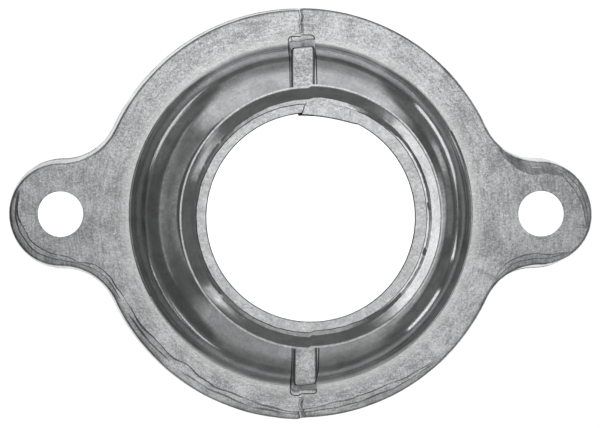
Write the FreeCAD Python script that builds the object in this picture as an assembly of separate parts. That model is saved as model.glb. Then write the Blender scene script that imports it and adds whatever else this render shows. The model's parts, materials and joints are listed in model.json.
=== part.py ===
import FreeCAD, Part
import math
import os

from FreeCAD import Vector

# Coolant outlet housing, one aluminium die casting, in millimetres.
#
# It stands on its machined mating face. The neck's axis is +Z through the origin, and the two
# bolts lie on the X axis. A round flange with two bolt ears carries a low dome, and a straight
# hose neck with a bead rises from the dome. Two side slides of the die met on the plane X = 0 and
# formed everything above the mating face, so that plane has the ribs, a thin fin and a small
# step. The coolant passage and the thermostat's seat are cut from below, after the slides' form.

# Flange: sizes of its outline at the mating face, and its section
flange_thickness = 8.0
flange_radius = 39.2
bolt_spacing = 90.0
bolt_hole_radius = 4.25
ear_radius = 10.5
ear_blend_radius = 10.4
side_draft = 6.0
edge_cut_width = 0.45
edge_cut_height = 0.6

# Dome between the flange's face and the neck
dome_foot_radius = 32.2
dome_foot_step = 0.14
dome_ledge_width = 0.65
dome_ledge_slope = 22.0
dome_wall_slope = 66.0
dome_shoulder_round = 6.4
dome_top_slope = 18.0
dome_height = 8.3

# Hose neck and its bead
neck_radius = 21.2
neck_root_fillet = 3.0
neck_height = 31.7
bead_radius = 22.65
bead_crest_round = 0.9
bead_back_angle = 45.0
bead_lead_angle = 39.0
tip_lip_radius = 19.9

# Ring left on the neck's end where the gate was trimmed off, and the flap beside the parting plane
gate_ring_radius = 19.45
gate_ring_height = 0.3
gate_ring_shift = 0.15
gate_flap_inner_radius = 17.2
gate_flap_outer_radius = 20.4
gate_flap_start = 96.0
gate_flap_end = 58.0
gate_flap_rise = 0.45

# Ribs on the parting plane, level on top
rib_top_width = 3.6
rib_height = 8.0
rib_foot_radius = 33.1
rib_side_draft = 3.0
rib_end_slope = 15.0
rib_corner_round = 0.7

# Traces of the die's parting plane
slide_mismatch = 0.3
fin_width = 0.3
fin_height = 0.12

# Passage and thermostat seat
seat_radius = 28.0
seat_depth = 3.0
chamber_radius = 26.0
chamber_draft = 5.0
chamber_height = 10.6
chamber_corner_cut = 1.5
throat_radius = 16.85
throat_height = 13.6
bore_draft = 1.9

# Facets where flash was filed off the flange's edge: centre (-1 left ear, 0 flange, 1 right ear),
# bearing from +X, half the angle that it covers, widest width, slope
filed_facets = [
    (1, -45.0, 42.0, 0.9, 12.0),
    (-1, 218.0, 50.0, 1.4, 10.0),
    (0, 258.0, 36.0, 1.8, 9.0),
]

# Working clearances of the cutting tools
overrun = 1.0

face_z = flange_thickness
tip_lip_z = face_z + neck_height
tip_z = tip_lip_z + gate_ring_height
bolt_x = bolt_spacing / 2


def slope(degrees):
    """Rise over run of a slope."""
    return math.tan(math.radians(degrees))


def polar(radius, degrees, z=0.0, centre_x=0.0):
    """A point at a radius and bearing round a vertical axis on the X axis."""
    angle = math.radians(degrees)
    return Vector(centre_x + radius * math.cos(angle), radius * math.sin(angle), z)


def arc(centre_x, centre_y, radius, start, end, z):
    """An arc about a point, from one bearing to another."""
    def at(degrees):
        return polar(radius, degrees, z) + Vector(centre_x, centre_y, 0)
    return Part.Arc(at(start), at((start + end) / 2), at(end)).toShape()


def joined(edges, start, end):
    """Adds a line to the edges, unless its ends meet."""
    if (end - start).Length > 1e-6:
        edges.append(Part.makeLine(start, end))


def rounded_wire(corners):
    """Lines through (point, radius) corners, with a tangent arc of that radius at each."""
    points = [point for point, radius in corners]
    count = len(points)
    edges = []
    previous_end = None
    first_start = None
    for index, (corner, radius) in enumerate(corners):
        before = (points[index - 1] - corner).normalize()
        after = (points[(index + 1) % count] - corner).normalize()
        if radius > 0:
            half = math.acos(max(-1.0, min(1.0, before.dot(after)))) / 2
            reach = radius / math.tan(half)
            start = corner + before * reach
            end = corner + after * reach
            centre = corner + (before + after).normalize() * (radius / math.sin(half))
            middle = centre + (corner - centre).normalize() * radius
        else:
            start = end = corner
        if previous_end is None:
            first_start = start
        else:
            joined(edges, previous_end, start)
        if radius > 0:
            edges.append(Part.Arc(start, middle, end).toShape())
        previous_end = end
    joined(edges, previous_end, first_start)
    return Part.Wire(edges)


def turned(corners, start=0.0, sweep=360.0, axis_at=Vector(0, 0, 0)):
    """A solid turned about a vertical axis from (radius, height, round) corners."""
    wire = rounded_wire([(Vector(r, 0, z), fillet) for r, z, fillet in corners])
    face = Part.Face(wire)
    face.rotate(Vector(0, 0, 0), Vector(0, 0, 1), start)
    solid = face.revolve(Vector(0, 0, 0), Vector(0, 0, 1), sweep)
    solid.translate(axis_at)
    return solid


def flange_outline(inset, z):
    """The flange's outline at a height, drawn in by an inset: a circle, two ears and four blends."""
    main = flange_radius - inset
    ear = ear_radius - inset
    blend = ear_blend_radius + inset
    blend_x = ((main + blend) ** 2 - (ear + blend) ** 2 + bolt_x ** 2) / (2 * bolt_x)
    blend_y = math.sqrt((main + blend) ** 2 - blend_x ** 2)
    from_main = math.degrees(math.atan2(blend_y, blend_x))
    from_ear = math.degrees(math.atan2(blend_y, blend_x - bolt_x))
    return Part.Wire([
        arc(0, 0, main, from_main, 180 - from_main, z),
        arc(-blend_x, blend_y, blend, -from_main, -from_ear, z),
        arc(-bolt_x, 0, ear, 180 - from_ear, 180 + from_ear, z),
        arc(-blend_x, -blend_y, blend, from_ear, from_main, z),
        arc(0, 0, main, 180 + from_main, 360 - from_main, z),
        arc(blend_x, -blend_y, blend, 180 - from_main, 180 - from_ear, z),
        arc(bolt_x, 0, ear, -from_ear, from_ear, z),
        arc(blend_x, blend_y, blend, 180 + from_ear, 180 + from_main, z),
    ])


def face_edge_inset():
    """How far the face's edge lies inside the outline of the mating face."""
    return (flange_thickness - edge_cut_height) * slope(side_draft) + edge_cut_width


def flange():
    """The eared flange, wider at the mating face by its draft, with its upper edge broken."""
    wall_z = face_z - edge_cut_height
    wall_inset = wall_z * slope(side_draft)
    return Part.makeLoft([
        flange_outline(0, 0),
        flange_outline(wall_inset, wall_z),
        flange_outline(wall_inset + edge_cut_width, face_z),
    ], True, True)


def bead_corner():
    """Radius and height of the corner between the bead's flanks, before its crest is rounded."""
    lead = math.radians(bead_lead_angle)
    back = math.radians(bead_back_angle)
    centre_radius = bead_radius - bead_crest_round
    reach = bead_crest_round / math.cos(lead) + centre_radius - tip_lip_radius
    centre_z = tip_lip_z - reach / math.tan(lead)
    distance = bead_crest_round / math.cos((lead + back) / 2)
    tilt = (lead - back) / 2
    return centre_radius + distance * math.cos(tilt), centre_z + distance * math.sin(tilt)


def dome_and_neck():
    """The dome, the neck and its bead, turned in one profile that starts inside the flange."""
    foot_z = face_z + dome_foot_step
    wall_foot = dome_foot_radius - dome_ledge_width
    ledge_z = foot_z + dome_ledge_width * slope(dome_ledge_slope)
    root_z = face_z + dome_height
    lean = 1 / slope(dome_wall_slope)
    fall = slope(dome_top_slope)
    # The wall's line meets the top cone's line at the shoulder's corner.
    shoulder_z = (root_z - (wall_foot + ledge_z * lean - neck_radius) * fall) / (1 - lean * fall)
    shoulder_radius = wall_foot - (shoulder_z - ledge_z) * lean
    crest_corner_radius, crest_corner_z = bead_corner()
    back_z = crest_corner_z - (crest_corner_radius - neck_radius) / slope(bead_back_angle)
    buried_z = face_z / 2
    return turned([
        (0, buried_z, 0),
        (dome_foot_radius, buried_z, 0),
        (dome_foot_radius, foot_z, 0),
        (wall_foot, ledge_z, 0),
        (shoulder_radius, shoulder_z, dome_shoulder_round),
        (neck_radius, root_z, neck_root_fillet),
        (neck_radius, back_z, 0),
        (crest_corner_radius, crest_corner_z, bead_crest_round),
        (tip_lip_radius, tip_lip_z, 0),
        (0, tip_lip_z, 0),
    ])


def rib(side):
    """A level-topped rib from the neck to the flange, on the +Y or -Y side."""
    top_z = face_z + rib_height
    buried_z = face_z - overrun
    def section(z):
        drop = top_z - z
        half = rib_top_width / 2 + drop * slope(rib_side_draft)
        end = rib_foot_radius - (z - face_z) * slope(rib_end_slope)
        inner = neck_radius - 1.5 * overrun
        return rounded_wire([
            (Vector(-half, inner, z), 0),
            (Vector(half, inner, z), 0),
            (Vector(half, end, z), rib_corner_round),
            (Vector(-half, end, z), rib_corner_round),
        ])
    body = Part.makeLoft([section(buried_z), section(top_z)], True, True)
    if side < 0:
        body.rotate(Vector(0, 0, 0), Vector(0, 0, 1), 180)
    return body


def meeting_slides(form):
    """The form as two slides left it: each half displaced along the parting plane."""
    reach = bolt_spacing
    halves = []
    for side in (-1, 1):
        block = Part.makeBox(reach, 2 * reach, 2 * reach,
                             Vector(-reach if side < 0 else 0, -reach, -reach))
        half = form.common(block)
        half.translate(Vector(0, side * slide_mismatch / 2, 0))
        halves.append(half)
    return halves[0].fuse(halves[1])


def parting_fin(side):
    """The thin fin across the flange's face where the slides met."""
    inner = rib_foot_radius - overrun
    outer = flange_radius - face_edge_inset()
    base_z = face_z - fin_height
    section = Part.Face(Part.makePolygon([
        Vector(-fin_width / 2, side * inner, base_z),
        Vector(fin_width / 2, side * inner, base_z),
        Vector(0, side * inner, face_z + fin_height),
        Vector(-fin_width / 2, side * inner, base_z),
    ]))
    return section.extrude(Vector(0, side * (outer - inner), 0))


def gate_ring():
    """The trimmed ring on the neck's end, a little off centre."""
    return Part.makeCylinder(gate_ring_radius, gate_ring_height + overrun,
                             Vector(gate_ring_shift, -gate_ring_shift, tip_lip_z - overrun))


def gate_flap():
    """A flap of trimmed metal, high at the parting plane and falling to the ring's level."""
    sweep = gate_flap_start - gate_flap_end
    low_z = tip_z - gate_ring_height
    high_z = tip_z + gate_flap_rise
    block = turned([
        (gate_flap_inner_radius, low_z, 0),
        (gate_flap_outer_radius, low_z, 0),
        (gate_flap_outer_radius, high_z, 0),
        (gate_flap_inner_radius, high_z, 0),
    ], gate_flap_end, sweep)
    # A plane through the low end's edge at the ring's level, and through the high end's top.
    low_end = polar(gate_flap_outer_radius, gate_flap_end, low_z)
    high_end = polar(gate_flap_outer_radius, gate_flap_start, high_z)
    along = (high_end - low_end).normalize()
    across = polar(1.0, (gate_flap_start + gate_flap_end) / 2)
    normal = across.cross(along).normalize()
    if normal.z < 0:
        normal = normal * -1
    reach = 4 * gate_flap_outer_radius
    above = Part.makeCylinder(reach, reach, low_end, normal)
    return block.cut(above)


def passage():
    """The seat for the thermostat, the chamber in the dome and the tapered bore of the neck."""
    corner_z = chamber_height - chamber_corner_cut
    corner_radius = chamber_radius - (corner_z - seat_depth) * slope(chamber_draft)
    end_z = tip_z + overrun
    bore_end = throat_radius + (end_z - throat_height) * slope(bore_draft)
    return turned([
        (0, -overrun, 0),
        (seat_radius, -overrun, 0),
        (seat_radius, seat_depth, 0),
        (chamber_radius, seat_depth, 0),
        (corner_radius, corner_z, 0),
        (corner_radius - chamber_corner_cut, chamber_height, 0),
        (throat_radius, throat_height, 0),
        (bore_end, end_z, 0),
        (0, end_z, 0),
    ])


def bolt_hole(side):
    """A through hole in one ear."""
    return Part.makeCylinder(bolt_hole_radius, flange_thickness + 2 * overrun,
                             Vector(side * bolt_x, 0, -overrun))


def filed_facet(place, bearing, half_span, width, fall):
    """A crescent facet on the flange's upper edge, cut by a cone on an offset axis."""
    edge_radius = ear_radius if place else flange_radius
    edge_radius = edge_radius - face_edge_inset()
    fade = math.cos(math.radians(half_span))
    offset = width / (1 - fade)
    cone_radius = edge_radius + offset * fade
    run = 4 * width
    axis_at = polar(offset, bearing + 180, 0, place * bolt_x)
    spread = half_span * edge_radius / cone_radius
    return turned([
        (cone_radius, face_z, 0),
        (cone_radius + run, face_z - run * slope(fall), 0),
        (cone_radius + run, face_z + overrun, 0),
        (cone_radius, face_z + overrun, 0),
    ], bearing - spread, 2 * spread, axis_at)


def outlet_housing():
    """The whole casting, with its machined cuts."""
    form = flange().fuse([dome_and_neck(), rib(1), rib(-1), gate_ring()])
    form = meeting_slides(form)
    form = form.fuse([parting_fin(1), parting_fin(-1)])
    cuts = [passage(), bolt_hole(-1), bolt_hole(1)]
    cuts += [filed_facet(*facet) for facet in filed_facets]
    form = form.cut(cuts)
    form = form.fuse(gate_flap())
    return form.removeSplitter()


os.makedirs("parts", exist_ok=True)
housing = outlet_housing()
housing.exportStep("parts/outlet_housing.step")
box = housing.optimalBoundingBox(False, False)
print("outlet_housing", len(housing.Solids), "solid", housing.isValid(), round(housing.Volume, 1), "mm3")
print("box", [round(v, 2) for v in (box.XMin, box.XMax, box.YMin, box.YMax, box.ZMin, box.ZMax)])
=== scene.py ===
"""Studio scene of a die-cast coolant outlet housing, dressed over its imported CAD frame."""

from __future__ import annotations

import json
import logging
import math
from dataclasses import dataclass, field, fields
from enum import Enum
from typing import Callable, Sequence, Union

import bmesh
import bpy
from mathutils import Matrix, Vector, noise

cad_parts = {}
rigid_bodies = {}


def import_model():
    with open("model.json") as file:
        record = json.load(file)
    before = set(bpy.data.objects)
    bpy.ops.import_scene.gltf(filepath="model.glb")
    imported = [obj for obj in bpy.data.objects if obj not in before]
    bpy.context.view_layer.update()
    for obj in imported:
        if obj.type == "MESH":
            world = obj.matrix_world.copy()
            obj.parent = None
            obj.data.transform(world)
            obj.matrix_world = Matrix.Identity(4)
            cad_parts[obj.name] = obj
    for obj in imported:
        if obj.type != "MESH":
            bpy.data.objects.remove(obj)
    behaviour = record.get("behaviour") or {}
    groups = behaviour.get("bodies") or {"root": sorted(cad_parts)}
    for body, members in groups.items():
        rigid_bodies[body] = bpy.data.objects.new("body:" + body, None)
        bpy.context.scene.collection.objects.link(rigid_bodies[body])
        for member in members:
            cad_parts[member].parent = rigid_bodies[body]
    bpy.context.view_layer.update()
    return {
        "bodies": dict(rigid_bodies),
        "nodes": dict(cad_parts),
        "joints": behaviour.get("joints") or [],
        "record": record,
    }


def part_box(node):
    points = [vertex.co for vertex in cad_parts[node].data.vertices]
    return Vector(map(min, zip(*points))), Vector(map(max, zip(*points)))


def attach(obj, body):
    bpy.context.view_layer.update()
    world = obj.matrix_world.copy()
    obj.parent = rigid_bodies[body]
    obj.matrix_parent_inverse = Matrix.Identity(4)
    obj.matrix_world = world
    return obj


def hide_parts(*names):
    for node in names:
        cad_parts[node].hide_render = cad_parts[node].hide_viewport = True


LOG = logging.getLogger("coolant_outlet")

MM = 0.001
NODE = "outlet_housing"
BODY = "root"

# Height of the trimmed ring on the neck's end, in millimetres
TIP_HEIGHT = 40.0

# Edges that turn by more than this stay sharp
SMOOTH_DEG = 32

# Points closer than this are one, and a face lies at a height within the second distance
MERGE_DISTANCE = 0.0005 * MM
LEVEL_TOLERANCE = 0.003 * MM

# Limits of a measure, and those that hold any value
Span = tuple[float, float]
ANY = (-math.inf, math.inf)

NodeOrSocket = Union[bpy.types.Node, bpy.types.NodeSocket]


class Finish(Enum):
    """The surfaces of the casting, by the name of their material."""

    TUMBLED = "tumbled_die_cast_skin"
    SLIDE = "slide_formed_die_cast_skin"
    TRIMMED = "trimmed_gate_metal"
    CORED = "cored_die_cast_wall"
    # Dark metal painted on narrow grooves, walls and edges as shade
    BURNT = "aluminium_burnt_release_agent"
    MACHINED = "milled_sealing_face"


class Join(Enum):
    """How one closed solid is put to another."""

    UNION = "UNION"
    CUT = "DIFFERENCE"


class Blend(Enum):
    """How patches of light are put together."""

    GREATEST = "MAXIMUM"
    SUM = "ADD"


def linear_from_hex(code: str) -> tuple[float, float, float, float]:
    """Turns an sRGB hex colour into a linear one.

    Args:
        code: Six hex digits, such as "C8C9CA".

    Returns:
        Linear red, green and blue, with an alpha of 1.
    """
    channels = []
    for start in (0, 2, 4):
        value = int(code[start:start + 2], 16) / 255
        if value <= 0.04045:
            channels.append(value / 12.92)
        else:
            channels.append(((value + 0.055) / 1.055) ** 2.4)
    return channels[0], channels[1], channels[2], 1.0


def smooth_step(low: float, high: float, value: float) -> float:
    """Rises smoothly from 0 at the low value to 1 at the high one."""
    share = min(1.0, max(0.0, (value - low) / (high - low)))
    return share * share * (3 - 2 * share)


@dataclass(frozen=True)
class Wave:
    """A repeatable unevenness: its strength, the length of a wave in millimetres and a seed."""

    strength: float
    length: float
    seed: float = 0.0

    def at(self, x: float, y: float, z: float = 0.0) -> float:
        """The unevenness at a place in millimetres, from about minus the strength to plus it."""
        return self.strength * noise.noise(Vector((
            x / self.length + self.seed, y / self.length - self.seed, z / self.length + 2 * self.seed)))


@dataclass(frozen=True)
class Corner:
    """A corner of a turned profile, in millimetres."""

    radius: float
    height: float
    rounding: float = 0.0
    steps: int = 5


def profile_stations(corners: Sequence[Corner], longest: float) -> list[tuple[float, float]]:
    """Follows a profile through its corners, with an arc at each rounded one.

    Args:
        corners: The profile's corners, in order.
        longest: The longest straight stretch between two stations, in millimetres.

    Returns:
        (radius, height) stations, in millimetres.
    """
    stations: list[Vector] = []
    for index, corner in enumerate(corners):
        here = Vector((corner.radius, corner.height))
        if corner.rounding > 0:
            before = (Vector((corners[index - 1].radius, corners[index - 1].height)) - here).normalized()
            after = (Vector((corners[index + 1].radius, corners[index + 1].height)) - here).normalized()
            half = before.angle(after) / 2
            centre = here + (before + after).normalized() * (corner.rounding / math.sin(half))
            start = here + before * (corner.rounding / math.tan(half)) - centre
            end = here + after * (corner.rounding / math.tan(half)) - centre
            turn = start.angle_signed(end)
            for step in range(corner.steps + 1):
                stations.append(centre + Matrix.Rotation(-turn * step / corner.steps, 2) @ start)
        else:
            stations.append(here)
    return _divided(stations, longest)


def _divided(stations: Sequence[Vector], longest: float) -> list[tuple[float, float]]:
    """Adds stations on long straight stretches.

    Args:
        stations: The stations of the profile's corners and arcs.
        longest: The longest stretch to leave, in millimetres.

    Returns:
        (radius, height) stations, in millimetres.
    """
    result = [(stations[0].x, stations[0].y)]
    for first, second in zip(stations, stations[1:]):
        length = (second - first).length
        if length < MERGE_DISTANCE / MM:
            continue
        count = max(1, math.ceil(length / longest))
        for step in range(1, count + 1):
            point = first.lerp(second, step / count)
            result.append((point.x, point.y))
    return result


def deselect_everything() -> None:
    """Leaves object mode with nothing selected."""
    if bpy.context.object and bpy.context.object.mode != "OBJECT":
        bpy.ops.object.mode_set(mode="OBJECT")
    bpy.ops.object.select_all(action="DESELECT")


def start_mesh(name: str) -> bpy.types.Object:
    """Adds an empty mesh object at the origin, in edit mode.

    Args:
        name: The object's name.

    Returns:
        The new object.
    """
    deselect_everything()
    bpy.ops.object.add(type="MESH", enter_editmode=True, location=(0, 0, 0))
    piece = bpy.context.object
    piece.name = name
    piece.data.name = name
    return piece


def edit_mesh(piece: bpy.types.Object) -> bmesh.types.BMesh:
    """The mesh of an object in edit mode."""
    return bmesh.from_edit_mesh(piece.data)


def select_where(piece: bpy.types.Object, test: Callable[[bmesh.types.BMEdge], bool]) -> None:
    """Selects the edges that pass a test.

    Args:
        piece: The object in edit mode.
        test: Says whether an edge is wanted.
    """
    bpy.ops.mesh.select_mode(type="EDGE")
    bpy.ops.mesh.select_all(action="DESELECT")
    for edge in edit_mesh(piece).edges:
        if test(edge):
            edge.select_set(True)
    bmesh.update_edit_mesh(piece.data)


def fill_level(piece: bpy.types.Object, height: float) -> None:
    """Fills the flat area between the open loops at a height.

    Args:
        piece: The object in edit mode.
        height: The height of the loops, in metres.
    """
    select_where(piece, lambda edge: edge.is_boundary and all(
        abs(vertex.co.z - height) < LEVEL_TOLERANCE for vertex in edge.verts))
    bpy.ops.mesh.fill(use_beauty=True)


def extrude_ring(grow: float, rise: float) -> None:
    """Extrudes the selected ring, scaled about the Z axis and raised.

    Args:
        grow: The new radius over the old one.
        rise: The rise, in metres.
    """
    bpy.ops.mesh.extrude_edges_move(TRANSFORM_OT_translate={"value": (0, 0, rise)})
    if abs(grow - 1) > 1e-9:
        bpy.ops.transform.resize(value=(grow, grow, 1), center_override=(0, 0, 0))


def finish_mesh() -> None:
    """Merges doubles, turns the faces outwards and leaves edit mode."""
    bpy.ops.mesh.select_mode(type="VERT")
    bpy.ops.mesh.select_all(action="SELECT")
    bpy.ops.mesh.remove_doubles(threshold=MERGE_DISTANCE)
    bpy.ops.mesh.normals_make_consistent(inside=False)
    bpy.ops.object.mode_set(mode="OBJECT")


def join_solid(piece: bpy.types.Object, other: bpy.types.Object, operation: Join) -> None:
    """Joins or cuts a closed solid with another, which is then deleted.

    Args:
        piece: The solid that stays.
        other: The solid to add or cut away.
        operation: Whether the other one is added or cut away.
    """
    deselect_everything()
    bpy.context.view_layer.objects.active = piece
    piece.select_set(True)
    cut = piece.modifiers.new("solid", "BOOLEAN")
    cut.operation = operation.value
    cut.solver = "EXACT"
    cut.object = other
    bpy.ops.object.modifier_apply(modifier=cut.name)
    bpy.data.objects.remove(other, do_unlink=True)


@dataclass(frozen=True)
class Facet:
    """A stretch of the flange's upper edge that was filed to a slope, in millimetres and degrees.

    It lies on one side of the parting plane, about a point of the outline.
    """

    centre_x: float
    centre_y: float
    reach: float
    width: float
    inner_tilt_deg: float
    outer_tilt_deg: float
    outer_share: float = 0.35
    step: float = 0.24

    def share(self, x: float, y: float) -> float:
        """How fully the facet covers a point of the outline.

        Args:
            x: Place along X, in millimetres.
            y: Place along Y, in millimetres.

        Returns:
            The share from 0 to 1.
        """
        if x * self.centre_x < 0:
            return 0.0
        away = math.hypot(x - self.centre_x, y - self.centre_y) / self.reach
        return max(0.0, 1 - away ** 2) ** 0.8


@dataclass(frozen=True)
class FacetCut:
    """What filing took off at one point of the outline, in millimetres and slopes."""

    inner: float = 0.0
    outer: float = 0.0
    inner_slope: float = 0.0
    outer_slope: float = 0.0
    step: float = 0.0

    def depth(self) -> float:
        """How deep the outer slope lies at the flat's border, in millimetres."""
        return 2 * self.step + (self.inner_slope * (self.inner - self.outer) + self.outer_slope * self.outer)


@dataclass(frozen=True)
class FlangeSizes:
    """Sizes of the eared flange, in millimetres, at the mating face unless said."""

    radius: float
    bolt_x: float
    hole_radius: float
    ear_radius: float
    blend_radius: float = 10.4
    thickness: float = 8.0
    draft_deg: float = 6.0
    wall_steps: int = 4
    edge_round: float = 0.62
    edge_zone: float = 2.0
    hole_edge_round: float = 0.08
    support_width: float = 0.12
    arc_step_deg: float = 1.5
    ear_step_deg: float = 3.0
    hole_segments: int = 96
    round_steps: int = 5
    edge_wave: Wave = Wave(0.05, 3.0)
    facet_wander: Wave = Wave(0.30, 4.6, 5.0)
    facet_fray: Wave = Wave(0.05, 0.9, 6.0)
    facet_outer_wave: Wave = Wave(0.4, 3.2, 8.0)
    facet_step_share: float = 0.62
    facet_step_wave: Wave = Wave(0.9, 4.0, 9.0)
    crease_run: float = 1.4
    least_crease: float = 0.15

    @classmethod
    def from_frame(cls, record: dict, mismatch: float) -> "FlangeSizes":
        """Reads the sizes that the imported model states.

        Args:
            record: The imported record.
            mismatch: How far the slides stood apart, in millimetres.

        Returns:
            The flange's sizes.
        """
        bolts = next(mount for mount in record["mounts"] if mount["name"] == "bolts")
        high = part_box(NODE)[1]
        bolt_x = bolts["dims"]["spacing_x_mm"] / 2
        return cls(
            radius=high[1] / MM - mismatch / 2,
            bolt_x=bolt_x,
            hole_radius=bolts["dims"]["hole_r_mm"],
            ear_radius=high[0] / MM - bolt_x,
        )


@dataclass
class Flange:
    """The eared flange: its outline, drafted wall, rounded edge, filed facets and bolt holes."""

    sizes: FlangeSizes
    facets: Sequence[Facet]

    def __post_init__(self) -> None:
        """Works out where the outline's arcs meet."""
        s = self.sizes
        main, ear = s.radius + s.blend_radius, s.ear_radius + s.blend_radius
        self.blend_x = (main ** 2 - ear ** 2 + s.bolt_x ** 2) / (2 * s.bolt_x)
        self.blend_y = math.sqrt(main ** 2 - self.blend_x ** 2)
        self.main_angle = math.degrees(math.atan2(self.blend_y, self.blend_x))
        self.ear_angle = math.degrees(math.atan2(self.blend_y, self.blend_x - s.bolt_x))

    def outward(self, x: float, y: float) -> tuple[float, float]:
        """The outward direction of the outline at a point on it or on a copy drawn in.

        Args:
            x: Place along X, in millimetres.
            y: Place along Y, in millimetres.

        Returns:
            The direction's X and Y.
        """
        side_x, side_y = math.copysign(1, x), math.copysign(1, y)
        ax, ay = abs(x), abs(y)
        if math.degrees(math.atan2(ay, ax)) >= self.main_angle:
            arm = Vector((ax, ay))
        elif math.degrees(math.atan2(ay, ax - self.sizes.bolt_x)) <= self.ear_angle:
            arm = Vector((ax - self.sizes.bolt_x, ay))
        else:
            arm = Vector((self.blend_x - ax, self.blend_y - ay))
        arm.normalize()
        return arm.x * side_x, arm.y * side_y

    def facet_cut(self, x: float, y: float) -> FacetCut:
        """What the filed facets took off at a point of the outline.

        Args:
            x: Place along X, in millimetres.
            y: Place along Y, in millimetres.

        Returns:
            The cut of the facet that reaches farthest in there.
        """
        s = self.sizes
        best, cut = 0.0, FacetCut()
        for facet in self.facets:
            share = facet.share(x, y)
            if share * facet.width <= best:
                continue
            best = share * facet.width
            step_share = min(1.0, max(0.0, s.facet_step_share + s.facet_step_wave.at(x, y)))
            fade = smooth_step(0, 0.4, share)
            cut = FacetCut(
                inner=best * (1 + s.facet_wander.at(x, y) + s.facet_fray.at(x, y)),
                outer=best * facet.outer_share * (1 + s.facet_outer_wave.at(x, y)),
                inner_slope=math.tan(math.radians(facet.inner_tilt_deg)) * fade,
                outer_slope=math.tan(math.radians(facet.outer_tilt_deg)) * fade,
                step=facet.step * fade * step_share,
            )
        return cut

    def draw_outline(self) -> None:
        """Spins the outline's eight arcs one after another at the mating face, in edit mode."""
        s = self.sizes
        angle = math.radians(self.main_angle)
        start = Vector((math.cos(angle), math.sin(angle), 0)) * s.radius * MM
        bpy.ops.mesh.select_all(action="DESELECT")
        bpy.ops.mesh.primitive_plane_add(size=MM, location=start)
        bpy.ops.mesh.merge(type="CENTER")
        across = 180 - 2 * self.main_angle
        neck = self.ear_angle - self.main_angle
        around = 2 * self.ear_angle
        for side in (1, -1):
            self._arc((0, 0), across, s.arc_step_deg)
            self._arc((-side * self.blend_x, side * self.blend_y), -neck, s.ear_step_deg)
            self._arc((-side * s.bolt_x, 0), around, s.ear_step_deg)
            self._arc((-side * self.blend_x, -side * self.blend_y), -neck, s.ear_step_deg)
        bpy.ops.mesh.select_linked()
        bpy.ops.mesh.remove_doubles(threshold=MERGE_DISTANCE)

    @staticmethod
    def _arc(centre: tuple[float, float], degrees: float, step: float) -> None:
        """Spins the selected point about a vertical axis.

        Args:
            centre: The axis's X and Y, in millimetres.
            degrees: The turn, anticlockwise from above. The tool itself turns the other way.
            step: About how far a step turns, in degrees.
        """
        bpy.ops.mesh.spin(
            steps=max(2, round(abs(degrees) / step)),
            angle=-math.radians(degrees),
            center=(centre[0] * MM, centre[1] * MM, 0),
            axis=(0, 0, 1),
        )

    def raise_wall(self, piece: bpy.types.Object) -> None:
        """Extrudes the outline up its drafted wall, over the rounded edge and onto the face.

        Args:
            piece: The object in edit mode, with the outline selected.
        """
        s = self.sizes
        wall_top = s.thickness - s.edge_round
        levels = [(0.0, s.support_width)]
        for step in range(1, s.wall_steps + 1):
            height = wall_top * step / s.wall_steps
            levels.append((height * math.tan(math.radians(s.draft_deg)), height))
        wall_inset = levels[-1][0]
        quarter = math.radians(90 - s.draft_deg)
        for step in range(1, s.round_steps + 1):
            angle = quarter * step / s.round_steps
            levels.append((
                wall_inset + s.edge_round * (1 - math.cos(angle)),
                wall_top + s.edge_round * math.sin(angle) / math.sin(quarter),
            ))
        inset = 0.0
        for level_inset, height in levels:
            self._ring(piece, level_inset - inset, height)
            inset = level_inset
        self._creases(piece)

    def _ring(self, piece: bpy.types.Object, drawn_in: float, height: float) -> None:
        """Extrudes the ring, draws it in and sets its height, less what was filed off.

        Args:
            piece: The object in edit mode, with the ring selected.
            drawn_in: How far to draw the ring in, in millimetres.
            height: The new ring's height, in millimetres.
        """
        s = self.sizes
        bpy.ops.mesh.extrude_edges_move(TRANSFORM_OT_translate={"value": (0, 0, 0)})
        near_top = smooth_step(s.thickness - s.edge_zone, s.thickness, height)
        for vertex in edit_mesh(piece).verts:
            if not vertex.select:
                continue
            x, y = vertex.co.x / MM, vertex.co.y / MM
            out_x, out_y = self.outward(x, y)
            uneven = near_top * s.edge_wave.at(x, y, height)
            x, y = x - out_x * drawn_in, y - out_y * drawn_in
            filed = self.facet_cut(x, y).depth()
            vertex.co = Vector((x, y, height - abs(uneven) - filed * near_top)) * MM
        bmesh.update_edit_mesh(piece.data)

    def _creases(self, piece: bpy.types.Object) -> None:
        """Extrudes the foot and the crest of the two small steps of the filed facets.

        Args:
            piece: The object in edit mode, with the ring on the flange's face selected.
        """
        for ring in range(4):
            bpy.ops.mesh.extrude_edges_move(TRANSFORM_OT_translate={"value": (0, 0, 0)})
            mesh = edit_mesh(piece)
            for vertex in mesh.verts:
                if vertex.select:
                    self._place_crease(vertex, ring)
            for edge in mesh.edges:
                place = edge.verts[0].co / MM
                if edge.select and self.facet_cut(place.x, place.y).inner > self.sizes.least_crease:
                    edge.smooth = False
            bmesh.update_edit_mesh(piece.data)

    def _place_crease(self, vertex: bmesh.types.BMVert, ring: int) -> None:
        """Moves a vertex from the ring before to its place on a crease.

        Args:
            vertex: The vertex, at the place of the ring before.
            ring: 0 and 1 for the foot and crest of the outer step, 2 and 3 for the inner one.
        """
        x, y = vertex.co.x / MM, vertex.co.y / MM
        out_x, out_y = self.outward(x, y)
        cut = self.facet_cut(x, y)
        margin = self.sizes.support_width
        run = max(margin, self.sizes.crease_run * cut.step)
        if ring == 0:
            move, level = margin / 2 + cut.outer, cut.step * 2 + cut.inner_slope * (cut.inner - cut.outer)
        elif ring == 1:
            move, level = run, cut.step + cut.inner_slope * (cut.inner - cut.outer)
        elif ring == 2:
            move, level = margin / 2 + max(0.0, cut.inner - cut.outer - 2 * run), cut.step
        else:
            move, level = run, 0.0
        vertex.co = Vector((x - out_x * move, y - out_y * move, self.sizes.thickness - level)) * MM

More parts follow.
